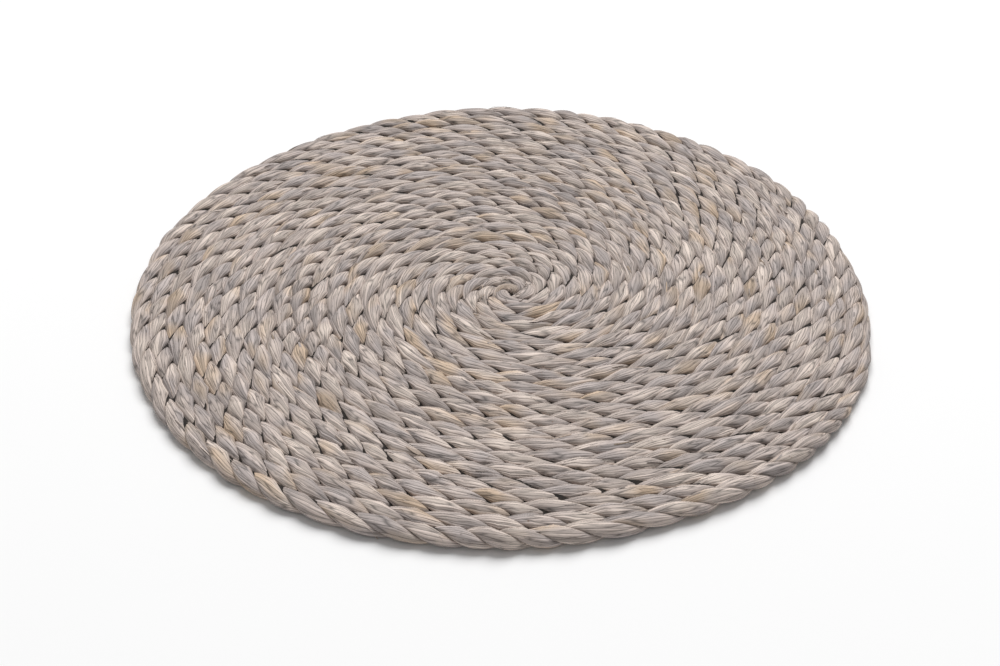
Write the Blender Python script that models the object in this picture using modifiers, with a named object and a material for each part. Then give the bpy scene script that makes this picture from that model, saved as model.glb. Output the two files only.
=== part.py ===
"""A round placemat: one twisted seagrass rope, coiled flat from the middle and sewn turn to turn.

The mat is a single solid. Each turn of the rope stands as a ridge on both faces, with a narrow flat
on its crest and a groove on each side of it, and the last turn thins out into the rim.
Units are metres, +Z is up, and the mat lies on z = 0 around the origin.
"""

import math

import bmesh
import bpy

# The mat
MAT_RADIUS = 0.190          # mean radius of the finished mat
THICKNESS = 0.0090          # the rope lies a little flattened
TURNS = 22                  # turns of rope, counted from the middle
START_ANGLE = math.radians(45.0)    # where the rope starts, and where its outer end runs out

# The coil: the first turns are pulled tight, and the rope reaches its full width further out
FIRST_PITCH = 0.0060        # width of a turn at the middle
FULL_PITCH = 0.00875        # width of a turn near the rim
PITCH_EASE = 2.5            # turns over which the width grows
CORE_RADIUS = 0.0012        # the pinhole that the first turn is wound round
CORE_CURL = 3               # how tightly the first turn hugs that pinhole

# The ridges
WEB = 0.0024                # what is left of the thickness under a groove pair
CREST_FROM = 0.30           # the flat on each crest, as shares of the turn's width
CREST_TO = 0.70
START_TAPER = 0.20          # turns over which the rope rises out of the middle
END_TAPER = 0.30            # turns over which the outer end thins away

# A hand-wound coil is never quite round: its turns are wider on one side
DRIFT = 0.0055              # how far the middle of the coil sits from the middle of the mat
DRIFT_ANGLE = math.radians(143.0)
RIM_WAVES = (               # slow waves of the rim
    {"cycles": 2, "height": 0.0010, "peak": math.radians(52.0)},
    {"cycles": 3, "height": 0.0005, "peak": math.radians(-32.0)},
    {"cycles": 5, "height": 0.0005, "peak": math.radians(34.0)},
    {"cycles": 6, "height": 0.0005, "peak": math.radians(-29.0)},
)

STEPS_PER_TURN = 32
ROWS = (0.0, CREST_FROM, CREST_TO, 1.0)     # lines across one turn: groove, crest, crest, groove
SEAM_DISTANCE = 0.000002                    # joins lines that two turns share


def ease(value):
    """A smooth step from 0 to 1."""
    value = min(max(value, 0.0), 1.0)
    return value * value * (3.0 - 2.0 * value)


def groove_radius(turn):
    """Radius of the groove on the inner side of the rope, after this many turns."""
    grown = 1.0 - math.exp(-turn / PITCH_EASE)
    radius = FULL_PITCH * turn - (FULL_PITCH - FIRST_PITCH) * PITCH_EASE * grown
    if turn < 1.0:
        first = groove_radius(1.0)
        return CORE_RADIUS + (first - CORE_RADIUS) * turn ** CORE_CURL
    return radius


def end_width(turn):
    """Share of its full width that the rope still has near its outer end."""
    return ease((TURNS - turn) / END_TAPER)


def start_rise(turn):
    """Share of its full height that the rope has near its start."""
    return ease(turn / START_TAPER)


def groove_height(turn):
    """Height of a groove's bottom above the middle plane of the mat; the rim is on that plane."""
    return WEB / 2 * end_width(turn)


def crest_height(turn):
    """Height of the rope's crest above the middle plane."""
    low = groove_height(turn)
    return low + (THICKNESS / 2 - low) * min(start_rise(turn), end_width(turn))


def place(radius, angle):
    """Where a point of the coil lies, with the coil's drift and the slow waves of its rim."""
    share = radius / MAT_RADIUS
    wave = sum(w["height"] * math.cos(w["cycles"] * (angle - w["peak"])) for w in RIM_WAVES)
    reach = radius + wave * share ** 2
    x = reach * math.cos(angle) + DRIFT * math.cos(DRIFT_ANGLE) * (share - 1.0)
    y = reach * math.sin(angle) + DRIFT * math.sin(DRIFT_ANGLE) * (share - 1.0)
    return x, y


def coil_point(turn, row):
    """A point on the upper face: so many turns along the rope, on one of the lines across it."""
    inner = groove_radius(turn)
    outer = inner + end_width(turn) * (groove_radius(turn + 1.0) - inner)
    radius = inner + ROWS[row] * (outer - inner)
    x, y = place(radius, START_ANGLE + math.tau * turn)
    if row == 0:
        height = groove_height(turn)
    elif row == len(ROWS) - 1:
        height = groove_height(turn + 1.0)
    else:
        height = crest_height(turn)
    return x, y, height


def upper_face():
    """The upper half of the mat: a long strip wound up, its neighbouring turns joined."""
    steps = TURNS * STEPS_PER_TURN
    last_row = len(ROWS) - 1
    bm = bmesh.new()
    bmesh.ops.create_grid(bm, x_segments=steps, y_segments=last_row, size=1.0)
    for vert in bm.verts:
        step = round((vert.co.x + 1.0) / 2.0 * steps)
        row = round((1.0 - vert.co.y) / 2.0 * last_row)
        vert.co = coil_point(step / STEPS_PER_TURN, row)
    bmesh.ops.remove_doubles(bm, verts=bm.verts, dist=SEAM_DISTANCE)
    bmesh.ops.dissolve_degenerate(bm, edges=bm.edges, dist=SEAM_DISTANCE)
    close_middle(bm)
    return bm


def close_middle(bm):
    """Fills the pinhole that the first turn leaves with a fan of small faces."""
    middle_x, middle_y = place(0.0, 0.0)
    reach = groove_radius(1.2)
    loop = [
        edge for edge in bm.edges
        if edge.is_boundary and all(
            math.hypot(v.co.x - middle_x, v.co.y - middle_y) < reach for v in edge.verts)
    ]
    made = bmesh.ops.holes_fill(bm, edges=loop, sides=0)
    hub = bmesh.ops.poke(bm, faces=made["faces"])["verts"]
    for vert in hub:
        vert.co = (middle_x, middle_y, WEB / 2)


def centre_on_origin(bm):
    """Moves the face so that its bounding box is centred over the origin."""
    xs = [vert.co.x for vert in bm.verts]
    ys = [vert.co.y for vert in bm.verts]
    shift = (-(min(xs) + max(xs)) / 2, -(min(ys) + max(ys)) / 2, 0.0)
    bmesh.ops.translate(bm, vec=shift, verts=bm.verts)


def seagrass():
    material = bpy.data.materials.new("seagrass")
    material.use_nodes = True
    shader = material.node_tree.nodes["Principled BSDF"]
    shader.inputs["Base Color"].default_value = (0.46, 0.39, 0.33, 1.0)
    shader.inputs["Roughness"].default_value = 0.75
    shader.inputs["Metallic"].default_value = 0.0
    return material


def make_placemat(collection):
    bm = upper_face()
    centre_on_origin(bm)
    mesh = bpy.data.meshes.new("placemat")
    bm.to_mesh(mesh)
    bm.free()
    mesh.materials.append(seagrass())
    mesh.shade_smooth()
    mesh.set_sharp_from_angle(angle=math.radians(35.0))

    mat = bpy.data.objects.new("placemat", mesh)
    mat.location.z = THICKNESS / 2
    collection.objects.link(mat)

    mirror = mat.modifiers.new("underside", "MIRROR")
    mirror.use_axis = (False, False, True)
    mirror.merge_threshold = SEAM_DISTANCE
    return mat


def main():
    for item in list(bpy.data.objects):
        bpy.data.objects.remove(item, do_unlink=True)
    collection = bpy.data.collections.new("seagrass_placemat")
    bpy.context.scene.collection.children.link(collection)
    make_placemat(collection)


main()
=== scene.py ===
# %% [markdown]
# # A coiled seagrass placemat
# The real mat is one rope, about 13 m long if the mat is 38 cm across. Two strands of dried
# seagrass are twisted into the rope, and the rope is wound flat from the middle. Something that
# doesn't show, most likely a thread, holds its turns together.
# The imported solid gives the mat's size and place. This script replaces it with the rope itself:
# both strands as long twisted tubes, and a dark bed that stands for what lies between the turns.

# %% Load the fixed frame
import math

import bmesh
import bpy
import numpy as np
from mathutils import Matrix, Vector


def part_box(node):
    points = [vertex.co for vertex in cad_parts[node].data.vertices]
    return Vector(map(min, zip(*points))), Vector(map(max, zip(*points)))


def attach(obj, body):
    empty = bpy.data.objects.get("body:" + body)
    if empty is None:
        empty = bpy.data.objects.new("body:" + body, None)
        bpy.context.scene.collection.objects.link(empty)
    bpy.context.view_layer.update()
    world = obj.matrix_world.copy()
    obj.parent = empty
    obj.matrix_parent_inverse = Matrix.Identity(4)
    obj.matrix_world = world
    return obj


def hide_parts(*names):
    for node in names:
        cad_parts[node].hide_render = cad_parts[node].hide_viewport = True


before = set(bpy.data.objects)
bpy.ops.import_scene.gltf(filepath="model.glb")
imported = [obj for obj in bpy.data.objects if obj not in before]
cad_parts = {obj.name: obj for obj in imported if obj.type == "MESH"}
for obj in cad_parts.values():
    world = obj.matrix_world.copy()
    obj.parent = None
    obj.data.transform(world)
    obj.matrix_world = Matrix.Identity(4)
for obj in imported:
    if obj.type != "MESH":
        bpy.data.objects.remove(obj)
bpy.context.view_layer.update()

low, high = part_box("placemat")
THICKNESS = high.z - low.z
print("the mat measures", [round(v * 1000, 1) for v in (high - low)], "mm")

# %% [markdown]
# ## The way the rope runs
# A flat coil is a spiral: each turn moves outward by one rope's width. The first turns are pulled
# tight, so they are thinner, and the spiral's pitch grows over the first few turns. Both the
# strands and the bed need this path, so it is a function of the number of turns, which can be
# worked out at any step. The numbers are those of the solid, so that the rope fits it.

# %% The coil
TURNS = 22
START_ANGLE = math.radians(45.0)    # where the rope starts, and where its outer end runs out
MAT_RADIUS = 0.190
FIRST_PITCH = 0.0060        # width of a turn at the middle
FULL_PITCH = 0.00875        # width of a turn near the rim
PITCH_EASE = 2.5            # turns over which the width grows
CORE_RADIUS = 0.0012        # the pinhole that the first turn is wound round
CORE_CURL = 3               # how tightly the first turn hugs that pinhole
END_TAPER = 0.30            # turns over which the outer end thins away
DRIFT = 0.0055              # how far the coil's middle sits from the middle of the mat
DRIFT_ANGLE = math.radians(143.0)
RIM_WAVES = (               # slow waves of the rim
    {"cycles": 2, "height": 0.0010, "peak": math.radians(52.0)},
    {"cycles": 3, "height": 0.0005, "peak": math.radians(-32.0)},
    {"cycles": 5, "height": 0.0005, "peak": math.radians(34.0)},
    {"cycles": 6, "height": 0.0005, "peak": math.radians(-29.0)},
)
SOLID_STEPS = 32            # steps in each turn of the solid


def ease(value):
    """A smooth step from 0 to 1."""
    value = np.clip(value, 0.0, 1.0)
    return value * value * (3.0 - 2.0 * value)


def spiral_radius(turn):
    """Radius after so many turns, without the tight curl of the first one."""
    grown = 1.0 - np.exp(-turn / PITCH_EASE)
    return FULL_PITCH * turn - (FULL_PITCH - FIRST_PITCH) * PITCH_EASE * grown


def groove_radius(turn):
    """Radius of the groove on the inner side of the rope."""
    turn = np.asarray(turn, float)
    first = spiral_radius(1.0)
    curl = CORE_RADIUS + (first - CORE_RADIUS) * np.clip(turn, 0.0, 1.0) ** CORE_CURL
    return np.where(turn < 1.0, curl, spiral_radius(turn))


def outer_radius(turn):
    """Radius of the rope's outer side, which runs in to the turn before at the rope's end."""
    inner = groove_radius(turn)
    return inner + ease((TURNS - turn) / END_TAPER) * (groove_radius(turn + 1.0) - inner)


def place(radius, angle):
    """Where a point of the coil lies: the coil drifts a little, and its rim has slow waves."""
    share = radius / MAT_RADIUS
    wave = sum(w["height"] * np.cos(w["cycles"] * (angle - w["peak"])) for w in RIM_WAVES)
    reach = radius + wave * share ** 2
    x = reach * np.cos(angle) + DRIFT * math.cos(DRIFT_ANGLE) * (share - 1.0)
    y = reach * np.sin(angle) + DRIFT * math.sin(DRIFT_ANGLE) * (share - 1.0)
    return np.stack([x, y], axis=-1)


rim_turns = TURNS - 1 + np.arange(SOLID_STEPS + 1) / SOLID_STEPS
rim = place(outer_radius(rim_turns), START_ANGLE + math.tau * rim_turns)
SHIFT = -(rim.min(axis=0) + rim.max(axis=0)) / 2
print("the coil is moved by", np.round(SHIFT * 1000, 2), "mm, to centre it as the solid is")

# %% [markdown]
# ## Length along the rope
# Twist is counted along the rope and not by angle, because a strand makes one turn round its
# partner in about four rope widths wherever it is. So the path is first walked in small steps
# to get its length, and then divided into rings that are closer together where the rope is thin.

# %% Rings along the rope
RING_SHARE = 0.20           # distance between rings, as a share of the rope's width
WALK_STEPS = 40000

walk = np.linspace(0.0, TURNS, WALK_STEPS)
walk_inner, walk_outer = groove_radius(walk), outer_radius(walk)
walk_line = place((walk_inner + walk_outer) / 2, START_ANGLE + math.tau * walk) + SHIFT
walk_width = walk_outer - walk_inner
walk_step = np.linalg.norm(np.diff(walk_line, axis=0), axis=1)
walk_length = np.concatenate([[0.0], np.cumsum(walk_step)])
ROPE_LENGTH = walk_length[-1]

twist_width = FULL_PITCH - (FULL_PITCH - FIRST_PITCH) * np.exp(-walk / PITCH_EASE)
rings_so_far = np.concatenate([[0.0], np.cumsum(walk_step / (RING_SHARE * twist_width[1:]))])
RINGS = int(rings_so_far[-1])
ring_turn = np.interp(np.arange(RINGS + 1), rings_so_far, walk)
ring_along = np.interp(ring_turn, walk, walk_length)
print(f"the rope is {ROPE_LENGTH:.2f} m long, in {RINGS} rings")

# %% [markdown]
# ## Handmade unevenness
# Nothing on a hand-twisted rope is even: the lay opens and closes, one strand is fatter than the
# other for a while, and the height changes. A smooth wandering value, made of random heights
# joined by soft curves, does all of these. Each use has its own seed, so the mat is the same on
# every run.

# %% Wandering values


def wander(along, length, seed):
    """A smooth random value from about -1 to 1 that changes over the given length."""
    knots = np.random.default_rng(seed).uniform(-1.0, 1.0, int(along.max() / length) + 3)
    spot = np.clip(along / length, 0.0, None)
    whole = spot.astype(int)
    blend = ease(spot - whole)
    return knots[whole] * (1.0 - blend) + knots[whole + 1] * blend


print("a wandering value, every 25 mm:", wander(np.arange(5) * 0.025, 0.07, 11).round(2))

# %% [markdown]
# ## How the strands twist and nest
# A laid rope is told by its lay, the length in which the strands go once round each other, here
# about four rope widths. The lay opens and closes along the rope. Where a turn lies beside the one
# before, its strands slip into the hollows of that turn, as bricks lie across a joint, so each
# ring's twist gives way a little towards the one that nests. A simulation could press the turns
# together, but this is quicker. At some other offsets the hollows line up into long clefts across
# the turns.

# %% Twist at each ring
LAY_WIDTHS = 4.0            # one full twist, in rope widths
LAY_SLOW = 0.16             # share by which the lay changes slowly
LAY_QUICK = 0.22            # and quickly
NESTING = 14.0              # radians a metre that a strand gives way to nest in the turn before
NESTING_FROM = 2.0          # turns from the middle at which nesting begins
NESTED_AT = 1.5             # twist between two turns that lie snugly, radians

ring_width = np.interp(ring_turn, walk, walk_width)
ring_twist_width = np.interp(ring_turn, walk, twist_width)
lay = LAY_WIDTHS * ring_twist_width * (
    1.0 + LAY_SLOW * wander(ring_along, 0.070, 11) + LAY_QUICK * wander(ring_along, 0.026, 12))
ring_step = np.diff(ring_along, prepend=0.0)
ring_twist = np.zeros(RINGS + 1)
for ring in range(1, RINGS + 1):
    ring_twist[ring] = ring_twist[ring - 1] + math.tau * ring_step[ring] / lay[ring]
    if ring_turn[ring] > NESTING_FROM:
        beside = np.interp(ring_turn[ring] - 1.0, ring_turn, ring_twist)
        apart = ring_twist[ring] - beside - NESTED_AT
        ring_twist[ring] -= NESTING * math.sin(2.0 * apart) * ring_step[ring]
print("the strands go round each other", round(ring_twist[-1] / math.tau), "times")

# %% [markdown]
# ## The rope's own shape at each ring
# At each ring the rope has a middle point, a direction outward and a direction up. The two
# strands fill a cell as wide as the coil's pitch and as high as the mat. The rope's tip curls in
# to the very middle, and starts further back than an even spiral would, so that no hole is left.
# The outer end thins away along the rim. The strands are plumper than their cell, so the whole
# coil is drawn in a little, and its plump rim stays close to the size of the solid.

# %% Cells for the strands
START_TAPER = 0.16          # turns over which the tip thickens
CURL_IN = 0.40              # turns over which the rope's start curls in to the very middle
CURL_DEPTH = 0.72           # share of its distance from the middle that the tip loses
CURL_BACK = 1.4             # how much further back the curled-in tip starts, radians
TIP_HEIGHT, TIP_RISE = 0.92, 0.08       # share of its height that the tip has, and what it gains
TIP_WIDTH, TIP_SWELL = 0.75, 0.25       # the same for its width
HEIGHT_UNEVEN = 0.08        # share by which the rope's height changes
SIDE_UNEVEN = 0.00055       # how far the rope strays sideways
MIX = 0.6                   # weight of the slow and of the quick wander in both
OFF_FLOOR = 0.00002         # keeps the rope just off the floor
PRESSED = 1.27              # a strand is plumper than its cell and presses into the turns beside it
RIM_KEPT = 0.4              # share of that plumpness that is taken off the rim again
DRAWN_IN = 1.0 - RIM_KEPT * (PRESSED - 1.0) * FULL_PITCH / 2 / MAT_RADIUS

ring_inner, ring_outer = groove_radius(ring_turn), outer_radius(ring_turn)
curled_in = 1.0 - ease(ring_turn / CURL_IN)
ring_angle = START_ANGLE + math.tau * ring_turn - CURL_BACK * curled_in
middle_radius = (ring_inner + ring_outer) / 2 * DRAWN_IN * (1.0 - CURL_DEPTH * curled_in)
middle = place(middle_radius, ring_angle) + SHIFT
forward = np.gradient(middle, axis=0)
forward /= np.linalg.norm(forward, axis=1)[:, None]
outward = np.stack([forward[:, 1], -forward[:, 0]], axis=1)
sideways = SIDE_UNEVEN * (
    MIX * wander(ring_along, 0.045, 21) + MIX * wander(ring_along, 0.014, 23))
middle = middle + outward * sideways[:, None]

start = ease(ring_turn / START_TAPER)
finish_off = ring_width / ring_twist_width.clip(1e-9)
thin = np.minimum(TIP_HEIGHT + TIP_RISE * start, np.sqrt(np.clip(finish_off, 0.0, 1.0)))
half_width = ring_width / 2 * PRESSED * (TIP_WIDTH + TIP_SWELL * start)
lower = MIX * wander(ring_along, 0.055, 22) + MIX * wander(ring_along, 0.016, 24) - 1.0
half_height = THICKNESS / 2 * thin * np.minimum(1.0 + HEIGHT_UNEVEN * lower, 1.0)
middle_height = half_height + OFF_FLOOR
print("the rope is up to", (half_height * 2000).max().round(1), "mm thick")

# %% [markdown]
# ## One strand
# A strand is a soft bundle of leaf strips. Its section is an oval, shorter and a little squarer on
# the side that beds into its partner. On top of the rope it spreads until it fills the turn's
# width, which gives the long pointed lozenges that the mat is known for, but on the rim's outer
# side nothing presses on it, and it stays round. It is modelled as a long grid rolled up into a
# tube: the grid's length follows the rope, and its width goes round the strand. The strips show
# as shallow lobes that wind the other way round, as in any laid rope.

# %% Section of a strand
SIDES = 24                  # faces round a strand
OUT_FROM_AXIS = 0.34        # strand's widest part from the rope's middle, in half widths
DEPTH_OUTSIDE = 0.67        # from there to its round outer side
OVERLAP = 0.13              # the two strands bed into each other where they meet
SPREAD = 0.77               # half its breadth
ROUND_OUTSIDE = 2.0         # 2 is an ellipse, more is boxier
ROUND_INSIDE = 2.5
PACKED = 0.78               # how far the strand on top is spread out to fill its turn
STRIPS = 5                  # lobes of leaf strips round a strand
STRIP_DEPTH = 0.03
STRIP_STRAY = 1.5           # how far the lobes wander round the strand
LOBE_LEVEL = 0.75           # height of a lobe that leaves the section as it is
LOBES_INSIDE, LOBES_MORE_OUTSIDE = 0.3, 0.7
LOBES_EVEN, LOBES_UNEVEN = 0.7, 0.3
FAT_SLOW, FAT_QUICK = 0.10, 0.13        # shares by which a strand gets fatter and thinner
STRIP_TURN = 1.12           # how far the strips wind back for each turn of the rope
# The next four set where the material paints shade on a strand: deep between its two strands, and low
# between two turns.
CLEFT_DARK = 0.39           # inside this reach a strand lies in the dark between the two
CLEFT_FADE = 0.25           # reach over which that dark fades
GROOVE_DARK = 0.09          # below this height it lies in the dark between two turns
GROOVE_FADE = 0.36
BARE_FROM = 1.25            # turns before the rope's end at which its outer side comes free
BARE_EASE = 0.25


def round_power(value, power):
    """Raises a value to a power and keeps its sign, which makes a circle boxier or sharper."""
    return np.sign(value) * np.abs(value) ** power


print("a strand reaches", round(OUT_FROM_AXIS + DEPTH_OUTSIDE, 2), "half widths from the rope's middle")

# %% [markdown]
# The section is drawn round the rope's own middle, turned by the twist, and stretched to the
# cell. Points that lie deep between the two strands, or low between two turns, get a smaller
# value, from 0 to 1, by which the material paints shade on them.

# %% Surface of a strand


def strand_points(first, last, which):
    """Points of a strand's surface, ring by ring, and how free of painted shade each one is."""
    rows = slice(first, last + 1)
    along = ring_along[rows, None]
    around = np.linspace(-math.pi, math.pi, SIDES + 1)[None, :]
    angle = ring_twist[rows, None] + math.pi * which
    slow, quick = wander(along, 0.048, 31 + which), wander(along, 0.015, 33 + which)
    fat = 1.0 + FAT_SLOW * slow + FAT_QUICK * quick

    across = np.cos(around)
    inside = across < 0.0
    depth = np.where(inside, OUT_FROM_AXIS + OVERLAP, DEPTH_OUTSIDE) * fat
    power = 2.0 / np.where(inside, ROUND_INSIDE, ROUND_OUTSIDE)
    spread = SPREAD * (0.5 + 0.5 * fat)
    stray = STRIP_STRAY * wander(along, 0.05, 37 + which)
    ridge = np.abs(np.cos(STRIPS / 2 * (around + STRIP_TURN * angle) + stray))
    bold = LOBES_EVEN + LOBES_UNEVEN * wander(along, 0.020, 35 + which)
    lobes = STRIP_DEPTH * bold * (ridge - LOBE_LEVEL)
    swell = 1.0 + lobes * (LOBES_INSIDE + LOBES_MORE_OUTSIDE * ~inside)
    out = OUT_FROM_AXIS + depth * swell * round_power(across, power)
    side = spread * swell * round_power(np.sin(around), power)

    wide = out * np.cos(angle) - side * np.sin(angle)
    tall = out * np.sin(angle) + side * np.cos(angle)
    reach = np.hypot(wide, tall)
    bare = ease((ring_turn[rows, None] - TURNS + BARE_FROM) / BARE_EASE) * (wide > 0.0)
    packed = PACKED * (1.0 - bare)
    wide = wide * (1.0 + packed * (1.0 / np.abs(wide).max(axis=1, keepdims=True) - 1.0))
    sidestep = (wide * half_width[rows, None])[..., None]
    spot = middle[rows, None, :] + outward[rows, None, :] * sidestep
    height = np.maximum(middle_height[rows, None] - tall * half_height[rows, None], OFF_FLOOR)
    points = np.concatenate([spot, height[..., None]], axis=2)
    # Painted shade: darker deep between the two strands and low between two turns, but not on the rim's
    # bare outer side; 1 means none.
    lit = np.maximum(ease((np.abs(tall) - GROOVE_DARK) / GROOVE_FADE), bare)
    free_of_painted_shade = ease((reach - CLEFT_DARK) / CLEFT_FADE) * lit
    return points, free_of_painted_shade


# %% [markdown]
# The tube is a bmesh grid. Its corners are moved to the points above, its two long edges are
# joined, and each end is closed with small triangles. The UV map runs in metres along the strand and
# round it, and leans with the strips, so that a pattern on it follows the fibres.

# %% Build a strand
STRAND_GIRTH = 0.020        # metres of pattern round a strand
SEAM_LIMIT = 0.000004       # points nearer than this are joined


def make_strand(name, first, last, which):
    points, free_of_painted_shade = strand_points(first, last, which)
    rings = last - first
    bm = bmesh.new()
    bmesh.ops.create_grid(bm, x_segments=rings, y_segments=SIDES, size=1.0)
    mesh = bpy.data.meshes.new(name)
    bm.to_mesh(mesh)
    bm.free()

    grid = np.empty(len(mesh.vertices) * 3, np.float32)
    mesh.vertices.foreach_get("co", grid)
    grid = grid.reshape(-1, 3)
    ring = np.rint((grid[:, 0] + 1.0) / 2.0 * rings).astype(int)
    side = np.rint((grid[:, 1] + 1.0) / 2.0 * SIDES).astype(int)
    mesh.vertices.foreach_set("co", points[ring, side].astype(np.float32).ravel())
    # Each point's share free of painted shade is kept on the mesh for the material.
    depth = mesh.attributes.new("free_of_painted_shade", "FLOAT", "POINT")
    depth.data.foreach_set("value", free_of_painted_shade[ring, side].astype(np.float32))

    corner = np.empty(len(mesh.loops), np.int32)
    mesh.loops.foreach_get("vertex_index", corner)
    along = ring_along[first + ring]
    round_it = side / SIDES + STRIP_TURN * ring_twist[first + ring] / math.tau
    uv = np.stack([along, round_it * STRAND_GIRTH], axis=1)[corner]
    mesh.uv_layers.new(name="fibres").data.foreach_set("uv", uv.astype(np.float32).ravel())

    bm = bmesh.new()
    bm.from_mesh(mesh)
    bmesh.ops.remove_doubles(bm, verts=bm.verts, dist=SEAM_LIMIT)
    ends = [edge for edge in bm.edges if edge.is_boundary]
    caps = bmesh.ops.holes_fill(bm, edges=ends, sides=0)["faces"]
    bmesh.ops.triangulate(bm, faces=caps)
    bmesh.ops.recalc_face_normals(bm, faces=bm.faces)
    bm.to_mesh(mesh)
    bm.free()
    mesh.shade_smooth()
    strand = bpy.data.objects.new(name, mesh)
    bpy.context.scene.collection.objects.link(strand)
    print(name, len(mesh.polygons), "faces")
    return strand


SPLIT = RINGS // 2
strands = [
    make_strand("strand_one_inner", 0, SPLIT, 0),
    make_strand("strand_one_outer", SPLIT, RINGS, 0),
    make_strand("strand_two_inner", 0, SPLIT, 1),
    make_strand("strand_two_outer", SPLIT, RINGS, 1),
]

# %% [markdown]
# ## The bed between the turns
# Between two turns of the real mat it is dark, in deep shade. A thin ridged disc inside the rope stands
# for whatever fibre and thread lie there, and closes the gaps; its near-black colour is painted shade. It
# is made
# as the solid is: a long strip wound up, its neighbouring turns joined, its lower side a mirror image. It
# is the mat's sheet, and the strands lie on both of its faces.

# %% The bed
BED_STEPS = 48
BED_ROWS = (0.0, 0.3, 0.7, 1.0)         # lines across one turn: groove, crest, crest, groove
BED_GROOVE = 0.16           # heights as shares of half the thickness
BED_CREST = 0.42
BED_EDGE = 0.72             # share of the last turn's width that the bed fills
BED_SHORT = 6               # steps by which the bed stops before the rope does
BED_END = TURNS - BED_SHORT / BED_STEPS
RIM_LEVEL = 0.00001         # edges nearer to the middle plane than this are the rim's


def bed_point(turn, row):
    """A point on the bed's upper face, so many turns along, on one of the lines across it."""
    def drawn_in(at_turn):
        return (1.0 - BED_EDGE) * FULL_PITCH * (1.0 - float(ease((BED_END - at_turn) / END_TAPER)))

    last = turn > TURNS - 1
    rise = float(ease((BED_END - turn) / END_TAPER))
    inner = float(groove_radius(turn)) - drawn_in(turn)
    outer = float(groove_radius(turn + 1.0)) - drawn_in(turn + 1.0)
    if last:
        outer = inner + BED_EDGE * FULL_PITCH * rise
    x, y = place(inner + BED_ROWS[row] * (outer - inner), START_ANGLE + math.tau * turn) + SHIFT
    if row in (1, 2):
        height = BED_CREST * rise
    elif row == 3 and last:
        height = 0.0
    else:
        after = turn + (row == 3)
        height = BED_GROOVE * float(ease((BED_END - after) / END_TAPER))
    return x, y, height * THICKNESS / 2


def make_bed():
    steps, rows = TURNS * BED_STEPS, len(BED_ROWS) - 1
    bm = bmesh.new()
    bmesh.ops.create_grid(bm, x_segments=steps, y_segments=rows, size=1.0)
    for vert in bm.verts:
        step = round((vert.co.x + 1.0) / 2.0 * steps)
        row = round((1.0 - vert.co.y) / 2.0 * rows)
        vert.co = bed_point(step / BED_STEPS, row)
    bmesh.ops.remove_doubles(bm, verts=bm.verts, dist=SEAM_LIMIT)
    open_middle = [
        edge for edge in bm.edges
        if edge.is_boundary and any(vert.co.z >= RIM_LEVEL for vert in edge.verts)
    ]
    bmesh.ops.holes_fill(bm, edges=open_middle, sides=0)
    upper = bm.verts[:] + bm.edges[:] + bm.faces[:]
    bmesh.ops.mirror(bm, geom=upper, axis="Z", merge_dist=SEAM_LIMIT)
    bmesh.ops.recalc_face_normals(bm, faces=bm.faces)
    bmesh.ops.translate(bm, vec=(0.0, 0.0, THICKNESS / 2), verts=bm.verts)
    open_edges = sum(1 for e in bm.edges if not e.is_manifold)
    mesh = bpy.data.meshes.new("fibre_and_shade_bed")
    bm.to_mesh(mesh)
    bm.free()
    mesh.shade_smooth()
    bed = bpy.data.objects.new("fibre_and_shade_bed", mesh)
    bpy.context.scene.collection.objects.link(bed)
    print("fibre_and_shade_bed", len(mesh.polygons), "faces,", open_edges, "open edges")
    return bed


bed = make_bed()

# %% [markdown]
# ## How high the rope stands
# Loose fibres and strips lie on the strands, so they need the height of the rope's upper side at
# any place on it. For each ring, the upper outline of both strands is read off at a few places
# across the rope, and the higher of the two is kept.

# %% Height of the upper side
ACROSS_PLACES = np.linspace(-1.0, 1.0, 13)
MIDDLE_PLACE = 6            # the one of these places that is on the rope's middle line
UPPER_PART = 0.2            # points down to this share of half the height below the middle count


def upper_outline(which):
    """Height of one strand's upper side, ring by ring, at each place across the rope."""
    points, _ = strand_points(0, RINGS, which)
    offset = points[..., :2] - middle[:, None, :]
    wide = (offset * outward[:, None, :]).sum(axis=2) / half_width[:, None]
    heights = np.zeros((RINGS + 1, len(ACROSS_PLACES)))
    for ring in range(RINGS + 1):
        order = np.argsort(wide[ring])
        upper = points[ring, order, 2] > middle_height[ring] - UPPER_PART * half_height[ring]
        chosen = order[upper]
        heights[ring] = np.interp(
            ACROSS_PLACES, wide[ring, chosen], points[ring, chosen, 2], 0.0, 0.0)
    return heights


top_heights = np.maximum(upper_outline(0), upper_outline(1))


def on_top(ring, across, lift):
    """The place that is so many rings along, so far across (-1 to 1), and so high over the rope."""
    ring = np.clip(ring, 0, RINGS - 1.001)
    whole, part = ring.astype(int), ring % 1.0
    here, after = (
        np.array([np.interp(a, ACROSS_PLACES, top_heights[r]) for a, r in zip(across, whole + step)])
        for step in (0, 1))
    height = here * (1.0 - part) + after * part
    centre = middle[whole] * (1.0 - part)[:, None] + middle[whole + 1] * part[:, None]
    sidestep = outward[whole] * (across * half_width[whole])[:, None]
    return np.concatenate([centre + sidestep, (height + lift)[:, None]], axis=1)


middle_heights = np.percentile(top_heights[:, MIDDLE_PLACE], [5, 50, 95])
print("the rope's top is", np.round(middle_heights * 1000, 2), "mm high")

# %% [markdown]
# ## Loose fibres and strips
# Dried leaves split, so a hand-twisted rope is never clean: thin fibres stand off it, and some leaf
# strips lie loose across the strands or end in a small tongue. Larger tufts, which real mats also
# have, aren't made here. Each bit is a thin tube with narrow ends that starts a little sunk in a
# strand, runs roughly along the rope and lifts off. Curves with a bevel could make them, but here
# they are grids rolled up round a line, one mesh for each kind.

# %% One loose bit
TIP_AT, BELLY = 0.04, 0.92  # where on half a wave a bit's thickness starts, and how much it spans
BLUNT = 0.5                 # under 1, the bit keeps its thickness for longer and ends more bluntly
PATTERN_ROW = 0.37          # shifts the pattern across as well as along from bit to bit


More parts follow.
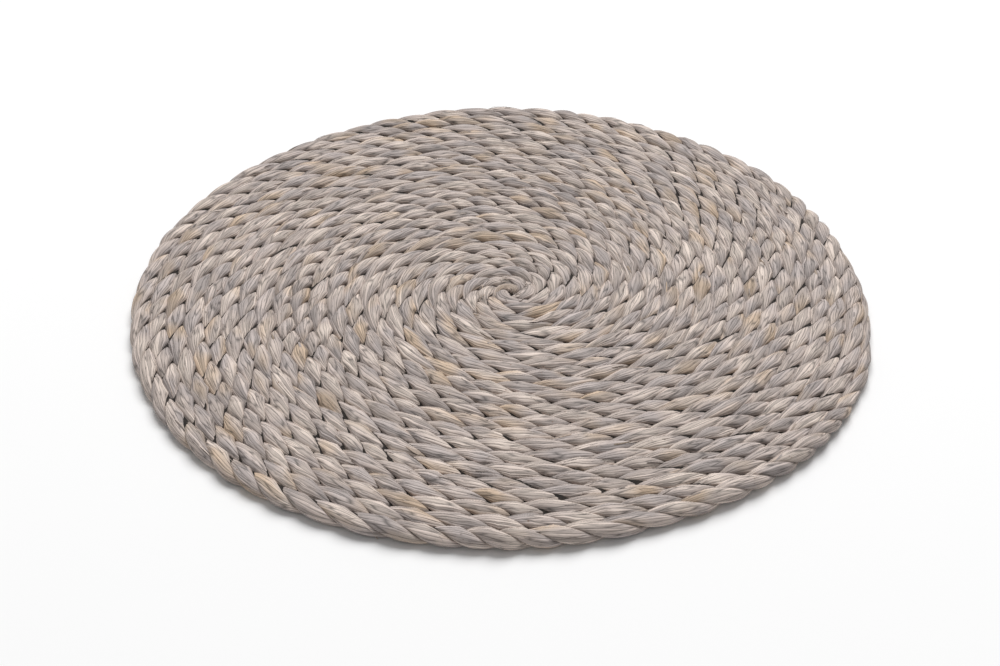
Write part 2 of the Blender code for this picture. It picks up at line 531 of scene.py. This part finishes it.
def add_bit(bm, uv_layer, line, half_wide, half_thick, sides, roll, tag):
    """Rolls a grid round a line of points, as a flat or round tube with narrow ends."""
    steps = len(line) - 1
    run = np.gradient(line, axis=0)
    run /= np.linalg.norm(run, axis=1)[:, None]
    flat = np.cross(run, [0.0, 0.0, 1.0])
    flat /= np.linalg.norm(flat, axis=1)[:, None].clip(1e-6)
    rise = np.cross(flat, run)
    turned = flat * math.cos(roll) + rise * math.sin(roll)
    upright = rise * math.cos(roll) - flat * math.sin(roll)
    shape = np.sin(math.pi * (TIP_AT + BELLY * np.arange(steps + 1) / steps)) ** BLUNT
    made = bmesh.ops.create_grid(bm, x_segments=steps, y_segments=sides, size=1.0)["verts"]
    faces = set()
    for vert in made:
        step = round((vert.co.x + 1.0) / 2.0 * steps)
        turn = (vert.co.y + 1.0) / 2.0 * math.tau
        vert.co = line[step] + shape[step] * (
            half_wide * math.cos(turn) * turned[step] + half_thick * math.sin(turn) * upright[step])
        faces.update(vert.link_faces)
    length = np.linalg.norm(np.diff(line, axis=0), axis=1).sum()
    for face in faces:
        for corner, (u, v) in zip(face.loops, ((0, 0), (1, 0), (1, 1), (0, 1))):
            corner[uv_layer].uv = (tag + u * length / steps, tag * PATTERN_ROW + v * half_wide)


print("a loose bit is", round(math.sin(math.pi * TIP_AT) ** BLUNT, 2), "of its full thickness at its tips")

# %% [markdown]
# The bits are scattered along the rope. Each starts at a random place, heads one way or the other,
# strays across the turn and bends a little. A little over half lift off at one end, and the rest
# arch up in the middle and come down again. None may dip under the rope and reach the floor.

# %% Scatter loose bits
STRAY = 0.15                # how far across the turn a bit strays on average
RIPPLE = 0.06               # how far it bends from side to side
LIFTED_AT_ONE_END = 0.55    # share of the bits that lift off at one end
ARCH = 0.6                  # height of an arched bit, as a share of one that lifts off
SUNK = 0.3                  # share of its thickness that a bit is sunk into the strand
KEPT_IN = 0.98              # no bit goes further across the turn than this
LOWEST = 0.0008             # or lower than this
ROLL = 0.35                 # how much bits roll about their own length, radians
PATTERN_STEP = 0.013        # shifts the pattern from bit to bit


def make_bits(name, seed, count, length, half_wide, half_thick, lift, sides, steps,
              swerve=0.5, edge=0.7, where=(0.02, 0.985)):
    """Scatters loose bits over the rope, each with its own length, width, lift and bend."""
    draw = np.random.default_rng(seed)
    bm = bmesh.new()
    uv_layer = bm.loops.layers.uv.new("fibres")
    spots = np.interp(draw.uniform(*where, count) * ROPE_LENGTH, ring_along, np.arange(RINGS + 1))
    share = np.linspace(0.0, 1.0, steps + 1)
    for number, spot in enumerate(spots):
        long = draw.uniform(*length)
        gap = np.interp(spot, np.arange(RINGS), np.diff(ring_along))
        heading = draw.choice([-1.0, 1.0])
        across = draw.uniform(-edge, edge) + heading * draw.normal(STRAY, swerve) * share
        across = across + RIPPLE * np.sin(share * draw.uniform(2.0, 6.0) + draw.uniform(0.0, 6.0))
        ring = spot + heading * share * long / gap
        high = draw.uniform(*lift)
        if draw.uniform() < LIFTED_AT_ONE_END:
            off = high * share ** draw.uniform(1.5, 3.0)
        else:
            off = ARCH * high * np.sin(math.pi * share)
        line = on_top(ring, np.clip(across, -KEPT_IN, KEPT_IN), off - half_thick * SUNK)
        line[:, 2] = np.convolve(np.pad(line[:, 2], 1, mode="edge"), [0.25, 0.5, 0.25], "valid")
        line[:, 2] = np.maximum(line[:, 2], LOWEST)
        wide = draw.uniform(*half_wide)
        roll = draw.normal(0.0, ROLL)
        add_bit(bm, uv_layer, line, wide, min(wide, half_thick), sides, roll, number * PATTERN_STEP)
    bmesh.ops.remove_doubles(bm, verts=bm.verts, dist=SEAM_LIMIT)
    bmesh.ops.holes_fill(bm, edges=[e for e in bm.edges if e.is_boundary], sides=0)
    bmesh.ops.recalc_face_normals(bm, faces=bm.faces)
    mesh = bpy.data.meshes.new(name)
    bm.to_mesh(mesh)
    bm.free()
    # The loose bits get none of the painted shade.
    shown = mesh.attributes.new("free_of_painted_shade", "FLOAT", "POINT")
    shown.data.foreach_set("value", np.ones(len(mesh.vertices), np.float32))
    mesh.shade_smooth()
    bits = bpy.data.objects.new(name, mesh)
    bpy.context.scene.collection.objects.link(bits)
    print(name, count, "pieces,", len(mesh.polygons), "faces")
    return bits


# %% [markdown]
# There are three kinds: hair-thin fibres, flat leaf strips that lie closer to the rope, and a
# little bunch of frayed ends at the middle, where the rope starts.

# %% The three kinds
loose_fibres = make_bits(
    "loose_fibres", 51, count=950, length=(0.004, 0.014), half_wide=(0.00006, 0.00012),
    half_thick=0.00008, lift=(0.0003, 0.0016), sides=4, steps=8)
loose_strips = make_bits(
    "loose_strips", 52, count=420, length=(0.006, 0.015), half_wide=(0.00030, 0.00065),
    half_thick=0.00009, lift=(0.0001, 0.0006), sides=8, steps=10, swerve=0.2)
frayed_middle = make_bits(
    "frayed_middle", 53, count=110, length=(0.003, 0.007), half_wide=(0.00010, 0.00030),
    half_thick=0.00009, lift=(0.0002, 0.0010), sides=6, steps=8, swerve=0.8, edge=0.95,
    where=(0.0, 0.006))

# %% [markdown]
# ## Helpers for the materials
# A node tree is easier to read when a node, its settings and its links are made in one line. These
# helpers do that, and add the patterns that both colour and bump need: noise drawn out along
# the fibres, and long cells, one for each strip of leaf.

# %% Node helpers


def new_material(name):
    material = bpy.data.materials.new(name)
    material.use_nodes = True
    return material, material.node_tree, material.node_tree.nodes["Principled BSDF"]


def add(tree, kind, inputs=None, **settings):
    """Adds a node, sets its properties, and fills its inputs with values or with links."""
    node = tree.nodes.new(kind)
    for key, value in settings.items():
        setattr(node, key, value)
    for key, value in (inputs or {}).items():
        if isinstance(value, bpy.types.NodeSocket):
            tree.links.new(value, node.inputs[key])
        else:
            node.inputs[key].default_value = value
    return node


def ramp(tree, factor, stops):
    """A colour ramp with (position, colour) stops."""
    node = add(tree, "ShaderNodeValToRGB", {"Fac": factor})
    points = node.color_ramp.elements
    while len(points) < len(stops):
        points.new(0.5)
    for point, (position, colour) in zip(points, stops):
        point.position = position
        point.color = (*colour, 1.0) if len(colour) == 3 else colour
    return node.outputs["Color"]


def grey(level):
    return (level, level, level)


def stretched(tree, source, along, across, detail=2.0, roughness=0.55, shift=0.0):
    """Noise with features so many metres long and wide on the strands' UV map."""
    scaled = add(tree, "ShaderNodeMapping", {
        "Vector": source, "Scale": (1.0 / along, 1.0 / across, 1.0), "Location": (shift, shift, shift)})
    noise = add(tree, "ShaderNodeTexNoise", {
        "Vector": scaled.outputs["Vector"], "Scale": 1.0, "Detail": detail, "Roughness": roughness})
    return noise.outputs["Fac"]


def mix_colour(tree, factor, first, second, blend="MIX"):
    node = add(tree, "ShaderNodeMix", data_type="RGBA", blend_type=blend)
    for socket, value in ((0, factor), (6, first), (7, second)):
        if isinstance(value, bpy.types.NodeSocket):
            tree.links.new(value, node.inputs[socket])
        elif socket == 0:
            node.inputs[socket].default_value = value
        else:
            node.inputs[socket].default_value = (*value, 1.0)
    return node.outputs[2]


def cells(tree, source, along, across, feature):
    """Long cells on the strands' UV map, one for each leaf strip."""
    scaled = add(tree, "ShaderNodeMapping", {
        "Vector": source, "Scale": (1.0 / along, 1.0 / across, 1.0)})
    return add(tree, "ShaderNodeTexVoronoi", {
        "Vector": scaled.outputs["Vector"], "Scale": 1.0}, voronoi_dimensions="2D", feature=feature)


print("the helpers are ready")

# %% [markdown]
# ## The colour of dried seagrass
# Dried seagrass is a pale grey-beige that shifts from strip to strip towards lilac grey, cream
# or straw, with a few brown specks. Slow noise gives the tints, and each strip is a little lighter
# or darker than the next, with a dark line between them. Fine noise gives the fibres. A painted
# image could do this too, but noise on the strands' UV map needs no file and doesn't repeat.
# Towards the inside of the rope all of it turns to a dark brown, which is painted shade.

# %% Colour of the seagrass
GREIGE = (0.520, 0.438, 0.396)
LILAC = (0.434, 0.377, 0.357)
CREAM = (0.641, 0.545, 0.481)
STRAW = (0.543, 0.401, 0.277)
SHADE = (0.075, 0.048, 0.034)
SPOT = (0.20, 0.10, 0.055)
STRIP_LONG, STRIP_WIDE = 0.026, 0.0013
STRIP_TONES = [(0.0, grey(0.70)), (0.5, grey(1.0)), (1.0, grey(1.25))]
STRIP_EDGES = [(0.0, grey(0.34)), (0.10, grey(1.0))]
FIBRE_TONES = [(0.32, grey(0.36)), (0.45, grey(1.0)), (0.70, grey(1.20))]


def seagrass_colour(tree, uv, fibres, level, edge):
    """Tints, strips, fibres and specks, with painted shade towards the inside of the rope."""
    free_of_painted_shade = add(tree, "ShaderNodeAttribute", attribute_name="free_of_painted_shade").outputs["Fac"]
    tint = stretched(tree, uv, 0.022, 0.010, detail=1.0, shift=9.1)
    straw = stretched(tree, uv, 0.034, 0.012, detail=1.0, shift=17.3)
    speck = stretched(tree, uv, 0.0022, 0.0011, detail=1.0, shift=31.9)

    tinted = ramp(tree, tint, [(0.36, LILAC), (0.50, GREIGE), (0.66, CREAM)])
    straw_share = ramp(tree, straw, [(0.57, grey(0.0)), (0.72, grey(0.80))])
    strawed = mix_colour(tree, straw_share, tinted, STRAW)
    stripped = mix_colour(tree, 1.0, strawed, ramp(tree, level, STRIP_TONES), "MULTIPLY")
    edged = mix_colour(tree, 1.0, stripped, ramp(tree, edge, STRIP_EDGES), "MULTIPLY")
    fine = mix_colour(tree, 1.0, edged, ramp(tree, fibres, FIBRE_TONES), "MULTIPLY")
    speck_share = ramp(tree, speck, [(0.74, grey(0.0)), (0.80, grey(0.8))])
    specked = mix_colour(tree, speck_share, fine, SPOT)
    # Painted shade: SHADE takes over where the strand lies deep inside the rope.
    return mix_colour(tree, free_of_painted_shade, SHADE, specked)


print("the plain colour between the tints is", GREIGE)

# %% [markdown]
# ## The finish of dried seagrass
# The leaf is dry and almost matt, with a faint satin sheen. The strips stand up a little, each to
# its own height, and the fibres run along them. The strand's section has only its broadest lobes,
# so the rest is two bumps, one laid over the other, that read the same patterns as the colour.

# %% The seagrass itself


def seagrass_material():
    material, tree, shader = new_material("dried_seagrass")
    uv = add(tree, "ShaderNodeUVMap", uv_map="fibres").outputs["UV"]
    fibres = stretched(tree, uv, 0.010, 0.00055, detail=3.0, roughness=0.70)
    strip = cells(tree, uv, STRIP_LONG, STRIP_WIDE, "F1").outputs["Color"]
    edge = cells(tree, uv, STRIP_LONG, STRIP_WIDE, "DISTANCE_TO_EDGE").outputs["Distance"]
    level = add(tree, "ShaderNodeSeparateColor", {"Color": strip}).outputs["Red"]
    colour = seagrass_colour(tree, uv, fibres, level, edge)
    tree.links.new(colour, shader.inputs["Base Color"])

    rough = ramp(tree, fibres, [(0.3, grey(0.78)), (0.7, grey(0.56))])
    tree.links.new(rough, shader.inputs["Roughness"])
    shader.inputs["Specular IOR Level"].default_value = 0.35
    shader.inputs["Sheen Weight"].default_value = 0.08
    shader.inputs["Sheen Roughness"].default_value = 0.45

    lifted = ramp(tree, level, [(0.0, grey(0.35)), (1.0, grey(1.0))])
    sunk_edges = ramp(tree, edge, [(0.0, grey(0.0)), (0.30, grey(1.0))])
    rounded = mix_colour(tree, 1.0, lifted, sunk_edges, "MULTIPLY")
    strip_bump = add(tree, "ShaderNodeBump", {
        "Height": rounded, "Strength": 0.7, "Distance": 0.00035})
    fine_bump = add(tree, "ShaderNodeBump", {
        "Height": fibres, "Strength": 0.7, "Distance": 0.00028, "Normal": strip_bump.outputs["Normal"]})
    tree.links.new(fine_bump.outputs["Normal"], shader.inputs["Normal"])
    return material


seagrass = seagrass_material()
print("dried_seagrass has", len(seagrass.node_tree.nodes), "nodes")

# %% [markdown]
# ## The dark between the turns
# Hardly any light gets down between the turns, so the bed's colour is painted nearly black, as shade, with
# a fine grain. It needs no pattern along the strands, so its noise reads Object coordinates.

# %% The bed's fibre and painted shade


def bed_material():
    material, tree, shader = new_material("fibre_and_painted_shade")
    spot = add(tree, "ShaderNodeTexCoord").outputs["Object"]
    grain = add(tree, "ShaderNodeTexNoise", {"Vector": spot, "Scale": 900.0, "Detail": 2.0})
    noise = grain.outputs["Fac"]
    # Painted shade: the bed's colour is nearly black because little light reaches it.
    colour = ramp(tree, noise, [(0.35, (0.006, 0.004, 0.003)), (0.7, (0.024, 0.016, 0.011))])
    tree.links.new(colour, shader.inputs["Base Color"])
    shader.inputs["Roughness"].default_value = 0.9
    bump = add(tree, "ShaderNodeBump", {"Height": noise, "Strength": 0.5, "Distance": 0.0004})
    tree.links.new(bump.outputs["Normal"], shader.inputs["Normal"])
    return material


loose_bits = [loose_fibres, loose_strips, frayed_middle]
for piece in strands + loose_bits:
    piece.data.materials.append(seagrass)
bed.data.materials.append(bed_material())
# The bed's near-black colour is painted shade.
print("seagrass is on", len(strands + loose_bits), "pieces, packed fibre on the bed")

# %% [markdown]
# ## Telling the frame where each piece rides
# The mat has one body. Every piece rides on it, and the bed stands for the solid, which is hidden.

# %% Ride and replace
for piece in [bed, *strands, *loose_bits]:
    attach(piece, "root")
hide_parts("placemat")

# %% [markdown]
# ## The floor
# The mat lies on a plain white floor, much larger than the mat. It is only a stage, and no part
# of the mat.

# %% The floor
FLOOR_SIZE = 6.0
bm = bmesh.new()
bmesh.ops.create_grid(bm, x_segments=1, y_segments=1, size=FLOOR_SIZE / 2)
floor_mesh = bpy.data.meshes.new("floor")
bm.to_mesh(floor_mesh)
bm.free()
floor = bpy.data.objects.new("floor", floor_mesh)
bpy.context.scene.collection.objects.link(floor)
floor_material, floor_tree, floor_shader = new_material("white_floor")
floor_shader.inputs["Base Color"].default_value = (0.93, 0.93, 0.93, 1.0)
floor_shader.inputs["Roughness"].default_value = 0.9
floor_mesh.materials.append(floor_material)
print("the floor is", FLOOR_SIZE, "m wide")

# %% [markdown]
# ## Light
# A large soft light hangs behind and a little to the right, so the near edge has a short soft
# shadow, and a pale surround fills in the rest. A small lamp would give hard shadows instead. The
# Standard view keeps the white floor white.

# %% Lights
LAMP_PLACE = (0.5, 3.3, 4.8)
LAMP_SIZE = 5.2
LAMP_POWER = 374.0
SURROUND = 0.32


def area_light(name, place_at, aim_at, size, power):
    light = bpy.data.lights.new(name, "AREA")
    light.shape = "DISK"
    light.size = size
    light.energy = power
    lamp = bpy.data.objects.new(name, light)
    lamp.location = place_at
    lamp.rotation_euler = (Vector(aim_at) - Vector(place_at)).to_track_quat("-Z", "Y").to_euler()
    bpy.context.scene.collection.objects.link(lamp)
    return lamp


area_light("softbox_above", LAMP_PLACE, (0.0, 0.0, 0.0), LAMP_SIZE, LAMP_POWER)
world = bpy.data.worlds.new("studio")
world.use_nodes = True
surround = world.node_tree.nodes["Background"]
surround.inputs["Color"].default_value = (1.0, 1.0, 1.0, 1.0)
surround.inputs["Strength"].default_value = SURROUND
bpy.context.scene.world = world
bpy.context.scene.view_settings.view_transform = "Standard"
print("the lamp is", LAMP_SIZE, "m across and", round(Vector(LAMP_PLACE).length, 1), "m away")

# %% [markdown]
# ## Camera
# The camera looks down at about 36 degrees from a little over 0.9 m away, so the mat's near side
# looks larger than its far side. It aims a little in front of the mat's middle.

# %% Camera
CAMERA_ELEVATION = math.radians(36.44)
CAMERA_DISTANCE = 0.9245
AIM = Vector((-0.0002, -0.0287, 0.0))
SENSOR = 36.0               # width of a full-frame sensor, in mm as Blender wants it
LENS = 66.06

camera_data = bpy.data.cameras.new("camera")
camera_data.sensor_width = SENSOR
camera_data.lens = LENS
camera = bpy.data.objects.new("camera", camera_data)
away = Vector((0.0, -math.cos(CAMERA_ELEVATION), math.sin(CAMERA_ELEVATION)))
camera.location = AIM + CAMERA_DISTANCE * away
camera.rotation_euler = (-away).to_track_quat("-Z", "Y").to_euler()
bpy.context.scene.collection.objects.link(camera)
bpy.context.scene.camera = camera
print("the camera is at", [round(v, 3) for v in camera.location])
